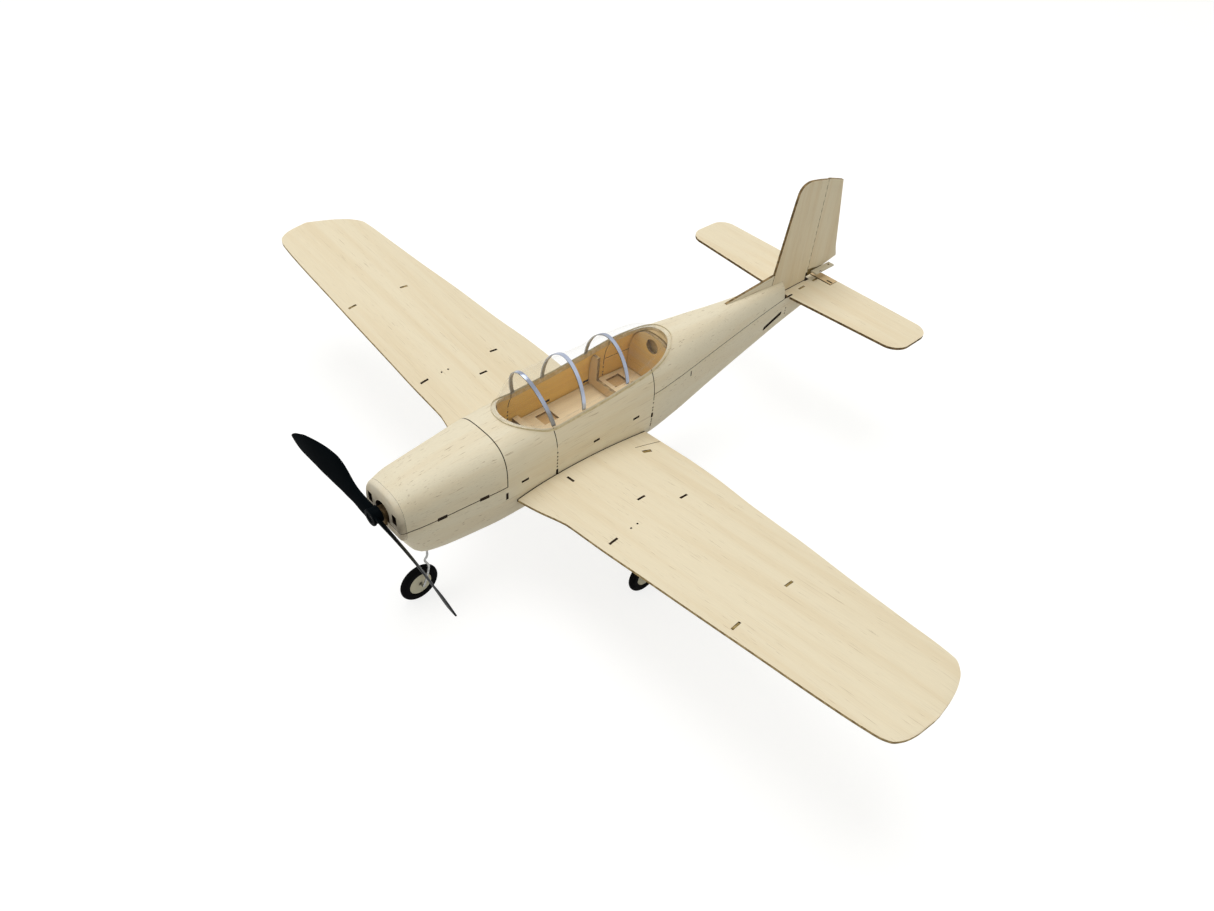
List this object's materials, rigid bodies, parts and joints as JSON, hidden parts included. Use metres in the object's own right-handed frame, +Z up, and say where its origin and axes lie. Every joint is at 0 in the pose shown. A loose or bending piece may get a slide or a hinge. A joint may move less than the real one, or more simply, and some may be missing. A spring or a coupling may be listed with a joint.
{
  "type": "rubber band plane",
  "caption": "Low wing sheet wood model aeroplane with a lift-off nose hatch, clear canopy, turning propeller and rolling wheels.",
  "frame": {"origin": "middle of the bounding box in plan, on the plane that the three tyres stand on", "axes": "+Z up, -Y towards the nose and propeller, +X towards the port wing tip"},
  "size_m": [0.3812, 0.2844, 0.1234],
  "materials": {
    "balsa": "matt sanded sheet",
    "inner_wood": "matt, edges darkened by cutting",
    "plywood": "matt",
    "canopy": "clear formed film",
    "hoop": "satin strip",
    "propeller": "gloss",
    "nylon": "matt",
    "wire": "drawn wire",
    "weight": "dull",
    "tyre": "matt",
    "rubber": "matt"
  },
  "bodies": {
    "fuselage": {"front_shell": "balsa", "side_skin_port": "balsa", "side_skin_starboard": "balsa", "cockpit_belly": "balsa", "rear_deck": "balsa", "rear_side_port": "balsa", "rear_side_starboard": "balsa", "rear_belly": "balsa", "nose_block_lower": "balsa", "firewall": "inner_wood", "former_hatch": "inner_wood", "former_cockpit_front": "inner_wood", "former_seat": "inner_wood", "former_cockpit_rear": "inner_wood", "former_tail": "inner_wood", "former_tail_end": "inner_wood", "bay_floor": "inner_wood", "cockpit_floor": "inner_wood", "floor_bar_1": "inner_wood", "floor_bar_2": "inner_wood", "canopy": "canopy", "canopy_hoop_1": "hoop", "canopy_hoop_2": "hoop", "canopy_hoop_3": "hoop", "wing_skin_port": "balsa", "wing_spar_port": "inner_wood", "root_rib_port": "inner_wood", "inner_rib_port": "inner_wood", "outer_rib_port": "inner_wood", "wing_skin_starboard": "balsa", "wing_spar_starboard": "inner_wood", "root_rib_starboard": "inner_wood", "inner_rib_starboard": "inner_wood", "outer_rib_starboard": "inner_wood", "wing_brace": "inner_wood", "stabiliser": "balsa", "fin": "balsa", "dorsal_fin": "balsa", "nose_gear_wire": "wire", "main_gear_wire_port": "wire", "main_gear_wire_starboard": "wire", "nose_bearing": "nylon", "motor_peg": "inner_wood", "nose_weight": "weight", "rubber_motor": "rubber"},
    "hatch": {"hatch_skin": "balsa", "hatch_nose_block": "balsa", "hatch_former": "inner_wood"},
    "propeller": {"propeller": "propeller", "thrust_washer": "wire", "prop_shaft": "wire"},
    "rudder": {"rudder": "balsa", "rudder_horn": "nylon"},
    "trim_tab": {"trim_tab": "plywood"},
    "nose_wheel": {"nose_wheel_tyre": "tyre", "nose_wheel_hub": "inner_wood"},
    "main_wheel_port": {"main_wheel_port_tyre": "tyre", "main_wheel_port_hub": "inner_wood"},
    "main_wheel_starboard": {"main_wheel_starboard_tyre": "tyre", "main_wheel_starboard_hub": "inner_wood"}
  },
  "joints": [
    {"name": "hatch_lift", "type": "slide", "parent": "fuselage", "child": "hatch", "axis": [0, 0, 1], "range_m": [0, 0.04]},
    {"name": "propeller_spin", "type": "hinge", "parent": "fuselage", "child": "propeller", "pos_m": [0, -0.139, 0.0597], "axis": [0, 1, 0], "continuous": true, "deforming": ["rubber_motor"]},
    {"name": "rudder_hinge", "type": "hinge", "parent": "fuselage", "child": "rudder", "pos_m": [0, 0.1183, 0.094], "axis": [0, 0, 1], "range_deg": [-25, 25]},
    {"name": "trim_tab_hinge", "type": "hinge", "parent": "fuselage", "child": "trim_tab", "pos_m": [0, 0.1252, 0.0644], "axis": [1, 0, 0], "range_deg": [-20, 20]},
    {"name": "nose_wheel_spin", "type": "hinge", "parent": "fuselage", "child": "nose_wheel", "pos_m": [0, -0.1234, 0.00892], "axis": [1, 0, 0], "continuous": true},
    {"name": "main_wheel_port_spin", "type": "hinge", "parent": "fuselage", "child": "main_wheel_port", "pos_m": [0.0575, -0.0467, 0.00892], "axis": [1, 0, 0], "continuous": true},
    {"name": "main_wheel_starboard_spin", "type": "hinge", "parent": "fuselage", "child": "main_wheel_starboard", "pos_m": [-0.0575, -0.0467, 0.00892], "axis": [1, 0, 0], "continuous": true}
  ]
}
